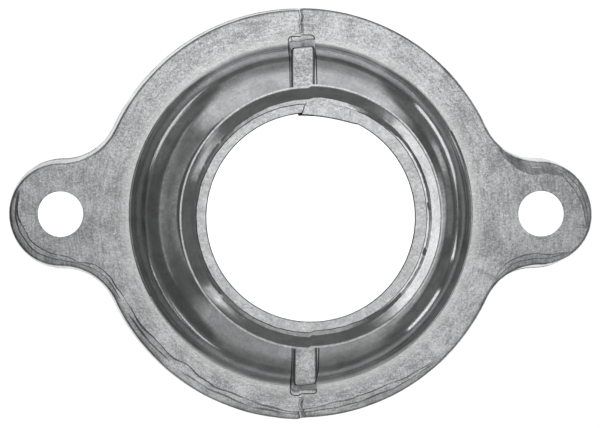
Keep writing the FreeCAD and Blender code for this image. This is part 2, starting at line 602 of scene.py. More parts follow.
    def bore_holes(self) -> None:
        """Adds the bolt holes' walls, with a small round at the face."""
        s = self.sizes
        for side in (-1, 1):
            centre = (side * s.bolt_x * MM, 0, 0)
            bpy.ops.mesh.select_all(action="DESELECT")
            flare = s.hole_radius + s.hole_edge_round + s.support_width
            bpy.ops.mesh.primitive_circle_add(
                vertices=s.hole_segments, radius=flare * MM, location=(centre[0], 0, s.thickness * MM)
            )
            stations = profile_stations([
                Corner(flare, s.thickness),
                Corner(s.hole_radius, s.thickness, s.hole_edge_round, 3),
                Corner(s.hole_radius, 0),
            ], s.thickness)
            radius, height = stations[0]
            for next_radius, next_height in stations[1:]:
                bpy.ops.mesh.extrude_edges_move(
                    TRANSFORM_OT_translate={"value": (0, 0, (next_height - height) * MM)})
                ratio = next_radius / radius
                bpy.ops.transform.resize(value=(ratio, ratio, 1), center_override=centre)
                radius, height = next_radius, next_height


@dataclass(frozen=True)
class NeckSizes:
    """Sizes of the dome, the neck and the passage, in millimetres and degrees."""

    tip_height: float
    seat_radius: float
    seat_depth: float
    dome_foot_radius: float = 32.2
    foot_step: float = 0.16
    foot_step_run: float = 0.42
    foot_ledge_width: float = 0.5
    foot_ledge_slope: float = 10.0
    dome_foot_fillet: float = 1.8
    dome_wall_slope: float = 66.0
    dome_shoulder_round: float = 6.4
    dome_top_slope: float = 18.0
    dome_height: float = 8.3
    neck_radius: float = 21.2
    neck_root_fillet: float = 3.0
    bead_radius: float = 22.72
    bead_ledge_width: float = 0.30
    bead_crest_round: float = 0.9
    bead_back_angle: float = 45.0
    bead_lead_angle: float = 33.0
    lip_radius: float = 19.9
    groove_radii: tuple[float, float] = (20.05, 20.42)
    groove_rise: float = 0.12
    ring_radius: float = 19.45
    ring_height: float = 0.3
    throat_radius: float = 16.85
    throat_height: float = 13.6
    bore_draft: float = 1.9
    bore_edge_cut: float = 0.17
    chamber_radius: float = 26.0
    chamber_draft: float = 5.0
    chamber_height: float = 10.6
    chamber_corner_cut: float = 1.5
    segments: int = 240

    @property
    def bore_radius(self) -> float:
        """The passage's radius at the neck's end."""
        rise = self.tip_height - self.throat_height
        return self.throat_radius + rise * math.tan(math.radians(self.bore_draft))

    @classmethod
    def from_frame(cls, record: dict) -> "NeckSizes":
        """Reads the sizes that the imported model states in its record."""
        seat = next(mount["dims"] for mount in record["mounts"] if mount["name"] == "thermostat_seat")
        return cls(tip_height=TIP_HEIGHT, seat_radius=seat["r_mm"], seat_depth=seat["length_mm"])


@dataclass
class DomeAndNeck:
    """Everything turned about the neck's axis, outside and inside, as one skin."""

    sizes: NeckSizes
    face_height: float

    def bead_corner(self) -> tuple[float, float]:
        """Finds the corner between the bead's flanks, before its crest is rounded.

        Returns:
            The corner's radius and height, in millimetres.
        """
        s = self.sizes
        lead, back = math.radians(s.bead_lead_angle), math.radians(s.bead_back_angle)
        centre_radius = s.bead_radius - s.bead_crest_round
        reach = s.bead_crest_round / math.cos(lead) + centre_radius - s.lip_radius
        centre_height = s.tip_height - s.ring_height - reach / math.tan(lead)
        distance = s.bead_crest_round / math.cos((lead + back) / 2)
        tilt = (lead - back) / 2
        return centre_radius + distance * math.cos(tilt), centre_height + distance * math.sin(tilt)

    def outer_corners(self) -> list[Corner]:
        """The profile from the flange's face over the dome and up the neck to its lip.

        A plain corner close beside another one keeps the shading of a crease sharp.

        Returns:
            The profile's corners, in order.
        """
        s = self.sizes
        foot = self.face_height
        root = foot + s.dome_height
        lean = 1 / math.tan(math.radians(s.dome_wall_slope))
        fall = math.tan(math.radians(s.dome_top_slope))
        ledge_radius = s.dome_foot_radius - s.foot_step_run - s.foot_ledge_width
        ledge = foot + s.foot_step + s.foot_ledge_width * math.tan(math.radians(s.foot_ledge_slope))
        shoulder = (root - (ledge_radius + ledge * lean - s.neck_radius) * fall) / (1 - lean * fall)
        crest_radius, crest = self.bead_corner()
        back = crest - (crest_radius - s.neck_radius) / math.tan(math.radians(s.bead_back_angle))
        edge = crest - (crest_radius - s.bead_radius) / math.tan(math.radians(s.bead_back_angle))
        lip = s.tip_height - s.ring_height
        inner, outer = s.groove_radii
        steepness = 1 / math.tan(math.radians(s.bead_lead_angle))
        groove = lip - (outer - s.lip_radius) * steepness
        ledge_inner = s.bead_radius - s.bead_ledge_width
        bead_ledge = lip - (ledge_inner - s.lip_radius) * steepness
        return [
            Corner(s.dome_foot_radius + 0.12, foot),
            Corner(s.dome_foot_radius, foot, 0.03, 2),
            Corner(s.dome_foot_radius - s.foot_step_run, foot + s.foot_step, 0.05, 3),
            Corner(ledge_radius, ledge, s.dome_foot_fillet, 6),
            Corner(ledge_radius - (shoulder - ledge) * lean, shoulder, s.dome_shoulder_round, 14),
            Corner(s.neck_radius, root, s.neck_root_fillet, 10),
            Corner(s.neck_radius, back, 0.25, 3),
            Corner(s.bead_radius, edge, 0.4, 4),
            Corner(s.bead_radius, bead_ledge - 0.02),
            Corner(ledge_inner, bead_ledge),
            Corner(ledge_inner - 0.06, bead_ledge + 0.06 * steepness),
            Corner(outer + 0.08, groove - 0.08 * steepness),
            Corner(outer, groove),
            Corner(inner, groove + s.groove_rise),
        ]

    def inner_corners(self) -> list[Corner]:
        """The profile from the lip over the trimmed ring and down the passage to the mating face.

        Returns:
            The profile's corners, in order.
        """
        s = self.sizes
        corner_height = s.chamber_height - s.chamber_corner_cut
        chamber_lean = math.tan(math.radians(s.chamber_draft))
        corner_radius = s.chamber_radius - (corner_height - s.seat_depth) * chamber_lean
        return [
            Corner(s.ring_radius + 0.1, s.tip_height - s.ring_height + 0.02),
            Corner(s.ring_radius, s.tip_height - 0.05),
            Corner(s.ring_radius - 0.06, s.tip_height),
            Corner(s.bore_radius + s.bore_edge_cut, s.tip_height),
            Corner(s.bore_radius, s.tip_height - s.bore_edge_cut),
            Corner(s.throat_radius, s.throat_height, 0.15, 2),
            Corner(corner_radius - s.chamber_corner_cut, s.chamber_height, 0.8, 3),
            Corner(corner_radius, corner_height, 0.8, 3),
            Corner(s.chamber_radius, s.seat_depth),
            Corner(s.seat_radius, s.seat_depth),
            Corner(s.seat_radius, 0),
        ]

    def turn(self) -> None:
        """Extrudes a circle along the whole profile, in edit mode."""
        stations = profile_stations(self.outer_corners() + self.inner_corners(), 2.0)
        radius, height = stations[0]
        bpy.ops.mesh.select_all(action="DESELECT")
        bpy.ops.mesh.primitive_circle_add(
            vertices=self.sizes.segments, radius=radius * MM, location=(0, 0, height * MM))
        for next_radius, next_height in stations[1:]:
            extrude_ring(next_radius / radius, (next_height - height) * MM)
            radius, height = next_radius, next_height


@dataclass(frozen=True)
class RibSizes:
    """Sizes of the ribs on the parting plane, in millimetres and degrees."""

    top_width: float = 4.25
    height: float = 8.0
    foot_radii: tuple[float, float] = (32.85, 33.35)
    side_draft: float = 2.4
    end_slope: float = 15.0
    corner_round: float = 0.7
    top_round: float = 0.40
    lean: float = 0.3
    offsets: tuple[float, float] = (-0.01, 0.38)
    buried: float = 1.0
    neck_overlap: float = 1.5
    groove_width: float = 0.2
    groove_depth: float = 0.22
    groove_reach: float = 2.45
    groove_lean: float = 0.12
    groove_start: float = 3.0
    groove_end: float = 0.5
    box_middle: float = 4.0
    box_height: float = 12.0
    zone_half_width: float = 4.0
    zone_radii: tuple[float, float] = (23.0, 36.0)
    zone_heights: tuple[float, float] = (-0.3, 8.5)


@dataclass
class Rib:
    """A level-topped rib between the neck and the flange."""

    sizes: RibSizes
    face_height: float
    inner_radius: float

    def build(self, side: int) -> bpy.types.Object:
        """Models the rib from a cube, tapered upwards, with rounded outer corners.

        Args:
            side: 1 for the rib at +Y and -1 for the one at -Y.

        Returns:
            The rib as a closed solid.
        """
        s = self.sizes
        low, high = self.face_height - s.buried, self.face_height + s.height
        piece = start_mesh(f"rib_{side}")
        outer = s.foot_radii[0 if side > 0 else 1] + s.buried * math.tan(math.radians(s.end_slope))
        middle = (outer + self.inner_radius) / 2
        bpy.ops.mesh.primitive_cube_add(size=1, location=(0, side * middle * MM, (low + high) / 2 * MM))
        width = s.top_width + 2 * (s.height + s.buried) * math.tan(math.radians(s.side_draft))
        bpy.ops.transform.resize(
            value=(width * MM, (outer - self.inner_radius) * MM, (high - low) * MM),
            center_override=(0, side * middle * MM, (low + high) / 2 * MM),
        )
        offset = s.offsets[0] if side > 0 else s.offsets[1]
        bpy.ops.transform.translate(value=((offset + s.lean) * MM, 0, 0))
        mesh = edit_mesh(piece)
        pull = (high - low) * math.tan(math.radians(s.end_slope))
        for vertex in mesh.verts:
            if vertex.co.z / MM < self.face_height:
                continue
            vertex.co.x = (offset + math.copysign(s.top_width / 2, vertex.co.x / MM - offset - s.lean)) * MM
            if abs(vertex.co.y) > middle * MM:
                vertex.co.y -= side * pull * MM
        bmesh.update_edit_mesh(piece.data)
        select_where(piece, lambda edge: self._is_outer_corner(edge, middle))
        bpy.ops.mesh.bevel(offset=s.corner_round * MM, segments=4, affect="EDGES")
        select_where(piece, lambda edge: all(v.co.z / MM > high - 0.01 for v in edge.verts))
        bpy.ops.mesh.bevel(offset=s.top_round * MM, segments=3, affect="EDGES")
        finish_mesh()
        return piece

    def groove_box(self, side: int, grow: float) -> bpy.types.Object:
        """Models an upright box round the rib, with rounded outer corners.

        Args:
            side: 1 for the rib at +Y and -1 for the one at -Y.
            grow: How far the box stands outside the groove's middle line, in millimetres.

        Returns:
            The box as a closed solid.
        """
        s = self.sizes
        index = 0 if side > 0 else 1
        piece = start_mesh(f"groove_box_{side}")
        inner = self.inner_radius + s.groove_start + 5 * grow
        outer = s.foot_radii[index] + s.groove_end + grow
        middle = (inner + outer) / 2
        place = Vector((
            s.offsets[index] + s.groove_lean, side * middle, self.face_height + s.box_middle)) * MM
        bpy.ops.mesh.primitive_cube_add(size=1, location=place)
        bpy.ops.transform.resize(
            value=(2 * (s.groove_reach + grow) * MM, (outer - inner) * MM, (s.box_height - 10 * grow) * MM),
            center_override=place,
        )
        select_where(piece, lambda edge: self._is_outer_corner(edge, middle))
        bpy.ops.mesh.bevel(offset=(s.corner_round + grow) * MM, segments=4, affect="EDGES")
        finish_mesh()
        return piece

    def cut_groove(self, casting: bpy.types.Object, side: int) -> None:
        """Cuts the narrow groove round the rib's foot, as deep everywhere.

        Args:
            casting: The casting, still without the rib.
            side: 1 for the rib at +Y and -1 for the one at -Y.
        """
        s = self.sizes
        frame = self.groove_box(side, s.groove_width / 2)
        join_solid(frame, self.groove_box(side, -s.groove_width / 2), Join.CUT)
        deselect_everything()
        casting.select_set(True)
        bpy.context.view_layer.objects.active = casting
        bpy.ops.object.duplicate()
        lowered = bpy.context.view_layer.objects.active
        for vertex in lowered.data.vertices:
            vertex.co.z -= s.groove_depth * MM
        join_solid(frame, lowered, Join.CUT)
        join_solid(casting, frame, Join.CUT)

    def in_groove(self, x: float, y: float) -> bool:
        """Says whether a place lies in the groove round one of the two ribs.

        Args:
            x: Place along X, in millimetres.
            y: Place along Y, in millimetres.

        Returns:
            True in the groove.
        """
        s = self.sizes
        index = 0 if y > 0 else 1
        across = abs(x - s.offsets[index] - s.groove_lean)
        end = s.foot_radii[index] + s.groove_end
        half = s.groove_width / 2 + 0.02
        beside = abs(across - s.groove_reach) < half and abs(y) < end
        beyond = abs(abs(y) - end) < half and across < s.groove_reach
        rounded = (s.groove_reach - s.corner_round < across < s.groove_reach + half
                   and end - s.corner_round < abs(y) < end + half)
        return beside or beyond or rounded

    @staticmethod
    def _is_outer_corner(edge: bmesh.types.BMEdge, middle: float) -> bool:
        """Says whether an edge is one of the rib's two upright outer corners.

        Args:
            edge: The edge.
            middle: The distance of the rib's middle from the axis, in millimetres.

        Returns:
            True for the two edges.
        """
        first, second = edge.verts
        upright = abs(first.co.z - second.co.z) > 2 * MM
        return upright and min(abs(first.co.y), abs(second.co.y)) > middle * MM


@dataclass(frozen=True)
class SeamSizes:
    """Sizes of the traces that the die's parting plane left, in millimetres."""

    width: float = 0.85
    height: float = 0.28
    crest_share: float = 0.25
    foot_spread: float = 2.1
    crest_shift: float = 0.12
    inner_gap: float = 0.45
    outer_gap: float = 1.0
    cuts: int = 16
    wander: Wave = Wave(0.32, 1.1, 1.0)
    crest_wave: Wave = Wave(0.06, 1.5, 3.0)


@dataclass
class PartingSeam:
    """The thin wavy fins across the flange's face where the two slides met."""

    sizes: SeamSizes
    face_height: float
    inner: float
    outer: float

    def build(self, side: int) -> bpy.types.Object:
        """Models a fin as a long wedge, divided along its length and bent to and fro.

        Args:
            side: 1 for the fin at +Y and -1 for the one at -Y.

        Returns:
            The fin as a closed solid.
        """
        s = self.sizes
        piece = start_mesh(f"parting_fin_{side}")
        middle = (self.inner + self.outer) / 2
        bpy.ops.mesh.primitive_cube_add(size=1, location=(0, side * middle * MM, self.face_height * MM))
        bpy.ops.transform.resize(
            value=(s.width * MM, (self.outer - self.inner) * MM, 2 * s.height * MM),
            center_override=(0, side * middle * MM, self.face_height * MM),
        )
        select_where(piece, lambda edge: abs(edge.verts[0].co.y - edge.verts[1].co.y) > MM)
        bpy.ops.mesh.subdivide(number_cuts=s.cuts)
        for vertex in edit_mesh(piece).verts:
            y = vertex.co.y / MM
            if vertex.co.z > self.face_height * MM:
                vertex.co.x = vertex.co.x * s.crest_share - s.crest_shift * MM
                vertex.co.z += MM * s.crest_wave.at(0, y)
            elif vertex.co.x > 0:
                vertex.co.x *= s.foot_spread
            vertex.co.x += MM * s.wander.at(0, y)
        bmesh.update_edit_mesh(piece.data)
        finish_mesh()
        return piece


@dataclass(frozen=True)
class GateFlapSizes:
    """Sizes of the flap of trimmed metal on the neck's end, in millimetres and degrees."""

    inner_radius: float = 17.15
    outer_radius: float = 20.4
    start_deg: float = 94.4
    end_deg: float = 62.0
    rise: float = 0.34
    depth: float = 1.6
    edge_width: float = 0.24
    buried: float = 0.2
    inner_cut: float = 0.1
    sunk: float = 0.02
    outer_fall: float = 0.35
    torn_drop: float = 0.13
    inner_drop: float = 0.19
    second_column: float = 0.7
    swell_start: float = 0.12
    steps: int = 22
    rows: int = 6
    ragged: Wave = Wave(0.08, 0.8, 2.0)
    ragged_run: float = 20.0
    ragged_turn: float = 0.02
    crack: tuple[tuple[float, float], ...] = (
        (0.0, 2.6), (0.2, 1.1), (0.4, 0.0), (0.65, -0.3), (0.85, -1.9), (1.0, -4.7))

    def crack_turn(self, share: float) -> float:
        """How far the torn edge runs ahead at a share of the flap's width.

        Args:
            share: The share of the width, from the bore outwards.

        Returns:
            The turn in degrees.
        """
        for (low, first), (high, second) in zip(self.crack, self.crack[1:]):
            if share <= high:
                return first + (second - first) * (share - low) / (high - low)
        return self.crack[-1][1]


@dataclass
class GateFlap:
    """The flap beside the parting plane, flat on top, that swells past the ring on both sides."""

    sizes: GateFlapSizes
    ring_radius: float
    bore_radius: float
    tip_height: float

    def build(self) -> bpy.types.Object:
        """Models the flap as a block spun about the neck's axis, then thinned towards its end.

        Returns:
            The flap as a closed solid.
        """
        s = self.sizes
        piece = start_mesh("gate_flap")
        start = math.radians(s.start_deg)
        middle = (self.ring_radius + self.bore_radius) / 2
        bpy.ops.mesh.primitive_plane_add(
            size=1, location=(middle * MM, 0, self.tip_height * MM), rotation=(math.radians(90), 0, 0))
        bpy.ops.transform.resize(
            value=((self.ring_radius - self.bore_radius) * MM, 1, s.depth * MM),
            center_override=(middle * MM, 0, self.tip_height * MM),
        )
        bpy.ops.transform.translate(value=(0, 0, -s.depth / 2 * MM))
        select_where(piece, lambda edge: abs(edge.verts[0].co.x - edge.verts[1].co.x) > 0.1 * MM)
        bpy.ops.mesh.subdivide(number_cuts=s.rows)
        bpy.ops.mesh.select_all(action="SELECT")
        bpy.ops.mesh.spin(steps=s.steps, angle=math.radians(s.start_deg - s.end_deg),
                          center=(0, 0, 0), axis=(0, 0, 1))
        self._shape(piece, start)
        bpy.ops.mesh.select_all(action="SELECT")
        bpy.ops.mesh.quads_convert_to_tris()
        finish_mesh()
        return piece

    def _shape(self, piece: bpy.types.Object, start: float) -> None:
        """Turns the block to its start and gives it its swell, rise and torn outline.

        A column is a step along the flap, from 0 at its torn edge. A row is a share of its width.

        Args:
            piece: The spun block, in edit mode.
            start: The bearing of the torn edge, in radians.
        """
        s = self.sizes
        sweep = math.radians(s.start_deg - s.end_deg)
        for vertex in edit_mesh(piece).verts:
            radius = math.hypot(vertex.co.x, vertex.co.y) / MM
            turn = -math.atan2(vertex.co.y, vertex.co.x)
            share = min(1.0, max(0.0, turn / sweep))
            column = share * s.steps
            if 0.5 < column < 1.5:
                turn *= s.second_column
            swell = math.sin(math.pi * min(1.0, s.swell_start + (1 - s.swell_start) * share)) ** 0.8
            row = min(1.0, max(0.0, (radius - self.bore_radius) / (self.ring_radius - self.bore_radius)))
            top = vertex.co.z / MM > self.tip_height - s.depth / 2
            ragged = s.ragged.at(turn * s.ragged_run, radius)
            inner, outer = self.bore_radius + s.buried, self.ring_radius - s.buried
            if top:
                inner += s.inner_cut - (inner + s.inner_cut - s.inner_radius) * swell ** 0.5
                outer += (s.outer_radius - outer) * swell + ragged
            beside_edge = 0.1 < row < 1.5 / (s.rows + 1)
            radius = inner + (s.edge_width if beside_edge else row * (outer - inner))
            height = vertex.co.z / MM
            if top:
                rise = s.rise if column > 0.1 else -s.torn_drop
                height = self.tip_height + rise * (1 - share) - s.sunk - s.outer_fall * swell * row ** 2
                if row < 0.1:
                    height -= s.inner_drop
            ahead = math.radians(s.crack_turn(row)) * (1 - share) ** 2
            angle = start - turn + ahead + s.ragged_turn * ragged
            vertex.co = Vector((radius * math.cos(angle), radius * math.sin(angle), height)) * MM
        bmesh.update_edit_mesh(piece.data)


@dataclass(frozen=True)
class TipWear:
    """How uneven the neck's end is, in millimetres.

    A facing is the share of a point's radius that lies along +X, from -1 to 1. Points count as on
    an edge when they are near it.
    """

    near: float = 0.1
    ragged_depth: float = 1.3
    bead_offset: float = 0.36
    bead_heights: tuple[float, float] = (31.0, 34.5)
    ring_spread: float = 0.32
    ring_facing: tuple[float, float] = (0.15, 0.80)
    groove_spread: float = 0.22
    groove_facing: tuple[float, float] = (-0.2, 0.8)
    groove_fill: float = 0.48
    fill_facing: tuple[float, float] = (0.20, 0.85)
    ring_wave: Wave = Wave(0.08, 1.3, 11.0)
    groove_wave: Wave = Wave(0.08, 1.3, 12.0)
    fine_wave: Wave = Wave(0.04, 0.45, 13.0)


@dataclass(frozen=True)
class FaceMeasures:
    """What a face's finish is judged by: distances in millimetres, a bearing in degrees and slopes.

    The slopes are shares of the face's normal: upwards, away from the axis, and to either side.
    """

    radius: float
    height: float
    across: float
    along: float
    from_bolt: float
    bearing: float
    upward: float
    outward: float
    sideways: float

    @classmethod
    def of(cls, centre: Vector, normal: Vector, bolt_x: float) -> "FaceMeasures":
        """Measures a face.

        Args:
            centre: The face's centre, in millimetres.
            normal: The face's outward normal.
            bolt_x: The distance of the bolt holes' axes from the part's, in millimetres.

        Returns:
            The face's measures.
        """
        radius = math.hypot(centre.x, centre.y)
        return cls(
            radius=radius,
            height=centre.z,
            across=abs(centre.x),
            along=abs(centre.y),
            from_bolt=math.hypot(abs(centre.x) - bolt_x, centre.y),
            bearing=math.degrees(math.atan2(centre.y, centre.x)),
            upward=normal.z,
            outward=(centre.x * normal.x + centre.y * normal.y) / radius if radius > 0 else 0.0,
            sideways=abs(normal.x),
        )


@dataclass(frozen=True)
class Zone:
    """A part of the surface with one finish, whose faces measure between pairs of limits."""

    finish: Finish
    radius: Span = ANY
    height: Span = ANY
    across: Span = ANY
    along: Span = ANY
    from_bolt: Span = ANY
    bearing: Span = ANY
    upward: Span = ANY
    outward: Span = ANY
    sideways: Span = ANY

    def holds(self, face: FaceMeasures) -> bool:
        """Says whether a face lies in the zone."""
        spans = ((getattr(self, measure.name), getattr(face, measure.name)) for measure in fields(face))
        return all(low < value < high for (low, high), value in spans)


@dataclass
class Casting:
    """The whole casting as the camera sees it: every form joined into one closed skin."""

    flange: Flange
    neck: DomeAndNeck
    ribs: RibSizes
    seam: SeamSizes
    flap: GateFlapSizes
    mismatch: float
    materials: dict[Finish, bpy.types.Material] = field(default_factory=dict)
    wear: TipWear = TipWear()

    def build(self) -> bpy.types.Object:
        """Models the casting and dresses it.

        Returns:
            The finished piece.
        """
        face = self.flange.sizes.thickness
        piece = start_mesh("die_cast_housing")
        self.flange.draw_outline()
        self.flange.raise_wall(piece)
        self.flange.bore_holes()
        self.neck.turn()
        fill_level(piece, face * MM)
        fill_level(piece, 0.0)
        finish_mesh()
        self.wear_tip(piece)
        sizes = self.neck.sizes
        rib = Rib(self.ribs, face, sizes.neck_radius - self.ribs.neck_overlap)
        for side in (1, -1):
            rib.cut_groove(piece, side)
            self.mark_burnt(piece, rib)
            join_solid(piece, rib.build(side), Join.UNION)
        self.part_slides(piece)
        for side, foot_radius in zip((1, -1), self.ribs.foot_radii):
            inner = foot_radius + self.ribs.groove_end + self.seam.inner_gap
            seam = PartingSeam(self.seam, face, inner, self.flange.sizes.radius - self.seam.outer_gap)
            join_solid(piece, seam.build(side), Join.UNION)
        flap = GateFlap(self.flap, sizes.ring_radius, sizes.bore_radius, sizes.tip_height)
        join_solid(piece, flap.build(), Join.UNION)
        self.dress(piece)
        return piece

    def mark_burnt(self, piece: bpy.types.Object, rib: Rib) -> None:
        """Gives the groove's new faces the second of two material slots, which the joins keep, for the
        painted shade.

        Args:
            piece: The casting, in object mode.
            rib: The rib, which knows where the groove is.
        """
        while len(piece.data.materials) < 2:
            piece.data.materials.append(None)
        s = self.ribs
        for face in piece.data.polygons:
            x, y, z = face.center / MM
            above = z - self.flange.sizes.thickness
            beside_rib = abs(x) < s.zone_half_width and s.zone_radii[0] < abs(y) < s.zone_radii[1]
            if not (beside_rib and s.zone_heights[0] < above < s.zone_heights[1]):
                continue
            corners = [piece.data.vertices[index].co / MM for index in face.vertices]
            face.material_index = 1 if all(rib.in_groove(corner.x, corner.y) for corner in corners) else 0

    def wear_tip(self, piece: bpy.types.Object) -> None:
        """Sets the bead a little off the axis and makes the edges round the trimmed ring uneven.

        Args:
            piece: The turned casting, in object mode.
        """
        s, wear = self.neck.sizes, self.wear
        groove_radius = s.groove_radii[0]
        near = wear.near
        for vertex in piece.data.vertices:
            x, y, z = vertex.co / MM
            radius = math.hypot(x, y)
            if z < wear.bead_heights[0] or radius < s.ring_radius - 2 * near:
                continue
            if z > s.tip_height - wear.ragged_depth and radius < s.groove_radii[1] + near:
                facing = x / radius
                if radius < s.ring_radius + 2 * near:
                    spread = wear.ring_spread * smooth_step(*wear.ring_facing, facing)
                    uneven = wear.ring_wave.at(x, y) + wear.fine_wave.at(x, y)
                else:
                    spread = wear.groove_spread * (1 - smooth_step(*wear.groove_facing, facing))
                    uneven = wear.groove_wave.at(x, y) + wear.fine_wave.at(x, y)
                if abs(radius - groove_radius) < near:
                    z += wear.groove_fill * (1 - smooth_step(*wear.fill_facing, facing))
                ratio = (radius + spread + uneven) / radius
                x, y = x * ratio, y * ratio
            if radius > groove_radius - 2 * near:
                x += wear.bead_offset * smooth_step(*wear.bead_heights, z)
            vertex.co = Vector((x, y, z)) * MM

    def part_slides(self, piece: bpy.types.Object) -> None:
        """Splits the large faces, then moves each half of the outside along the parting plane.

        A large face that is bent by the move could be split another way in another run.

        Args:
            piece: The joined casting, in object mode.
        """
        # The border between the slides along X, and how far out along Y the shift is whole
        border, growth = (0.03, 0.07), (0, 12)
        deselect_everything()
        piece.select_set(True)
        bpy.context.view_layer.objects.active = piece
        bpy.ops.object.mode_set(mode="EDIT")
        bpy.ops.mesh.select_all(action="DESELECT")
        bpy.ops.mesh.select_face_by_sides(number=4, type="GREATER")
        bpy.ops.mesh.quads_convert_to_tris(quad_method="BEAUTY", ngon_method="BEAUTY")
        bpy.ops.object.mode_set(mode="OBJECT")
        for vertex in piece.data.vertices:
            x, y, z = vertex.co / MM
            if z < 0.05 or math.hypot(x, y) < self.neck.sizes.ring_radius - 1:
                continue
            side = 2 * smooth_step(*border, x) - 1
            vertex.co.y += side * self.mismatch / 2 * MM * smooth_step(*growth, abs(y))

    def zones(self) -> tuple[Zone, ...]:
        """The zones of the surface that don't have the slides' finish.

        Returns:
            The zones, of which the first that holds a face gives its finish.
        """
        s, face = self.neck.sizes, self.flange.sizes.thickness
        tip = s.tip_height
        low, high = ANY
        tip_radii = (low, s.groove_radii[1] + 0.35)
        rib = {"across": (low, 3.2), "along": (s.neck_radius + 2, s.dome_foot_radius + 0.6)}
        passage_radii = (low, s.chamber_radius + 0.1)
        ledge_radius = s.bead_radius - s.bead_ledge_width - 0.4
        return (
            # The mating face and the thermostat's seat
            Zone(Finish.MACHINED, height=(low, 0.01)),
            Zone(Finish.MACHINED, radius=(low, s.seat_radius + 0.1), height=(low, s.seat_depth + 0.05)),
            # The flap's torn edge, and the walls of the trimmed ring and of the flap, dark as painted shade
            Zone(Finish.BURNT, radius=tip_radii, height=(tip - 0.4, high), upward=(low, 0.9),
                 bearing=(88, 100)),
            Zone(Finish.BURNT, radius=tip_radii, height=(tip - s.ring_height, high), upward=(0.2, 0.7),
                 outward=(-0.2, high)),
            # The flap's top
            Zone(Finish.TUMBLED, radius=(s.ring_radius - 0.5, tip_radii[1]), height=(tip - 0.1, high),
                 bearing=(62, 96)),
            # The trimmed ring with the groove's inner slope, the bead's ledge, and what is left of the ring
            Zone(Finish.TRIMMED, radius=(s.throat_radius + 0.3, s.groove_radii[0] + 0.1),
                 height=(tip - 1.3, high), upward=(0.8, high)),
            Zone(Finish.TRIMMED, radius=(ledge_radius, high), height=(face + 20, high), upward=(0.97, high)),
            Zone(Finish.TRIMMED, radius=(low, s.ring_radius + 1.2), height=(tip - 0.45, high),
                 upward=(0.8, high)),
            # The passage, the chamber and the bolt holes
            Zone(Finish.CORED, radius=passage_radii, outward=(low, -0.2)),
            Zone(Finish.CORED, radius=passage_radii, height=(low, s.throat_height + 0.2)),
            Zone(Finish.CORED, from_bolt=(low, self.flange.sizes.hole_radius + 0.15), upward=(-0.5, 0.5)),
            # The ribs' rounded top edges, dark as painted shade, then their tops
            Zone(Finish.BURNT, height=(face + 7.5, face + 8.1), sideways=(0.3, 0.97), **rib),
            Zone(Finish.TUMBLED, height=(face + self.ribs.height - 0.1, high), upward=(0.97, high), **rib),
            # The flange's face and sides
            Zone(Finish.TUMBLED, radius=(s.dome_foot_radius - 0.05, high), height=(low, face + 0.4)),
        )

    def dress(self, piece: bpy.types.Object) -> None:
        """Gives each face its finish and smooth shading up to a crease.

        Args:
            piece: The joined casting.
        """
        order, zones = list(Finish), self.zones()
        painted_shade_marks = [face.material_index == 1 for face in piece.data.polygons]
        piece.data.materials.clear()
        for finish in order:
            piece.data.materials.append(self.materials[finish])
        # Faces of the groove marked before the joins get the painted shade
        for face, in_painted_shade in zip(piece.data.polygons, painted_shade_marks):
            measures = FaceMeasures.of(face.center / MM, face.normal, self.flange.sizes.bolt_x)
            finish = next((zone.finish for zone in zones if zone.holds(measures)), Finish.SLIDE)
            face.material_index = order.index(Finish.BURNT if in_painted_shade else finish)
        deselect_everything()
        piece.select_set(True)
        bpy.context.view_layer.objects.active = piece
        bpy.ops.object.shade_smooth_by_angle(angle=math.radians(SMOOTH_DEG))


def add_node(tree: bpy.types.NodeTree, kind: str, settings: dict | None = None,
             inputs: dict | tuple = ()) -> bpy.types.Node:
    """Adds a node with its settings and links.

    Args:
        tree: The node tree to add to.
        kind: The node's type without its first words, such as "TexNoise".
        settings: Property values by name.
        inputs: Values, sockets or nodes, whose first socket counts, in their order or by name.

    Returns:
        The new node.
    """
    node = tree.nodes.new("ShaderNode" + kind)
    for name, value in (settings or {}).items():
        setattr(node, name, value)
    for name, value in inputs.items() if isinstance(inputs, dict) else enumerate(inputs):
        if isinstance(value, bpy.types.Node):
            value = value.outputs[0]
        if isinstance(value, bpy.types.NodeSocket):
            tree.links.new(value, node.inputs[name])
        else:
            node.inputs[name].default_value = value
    return node


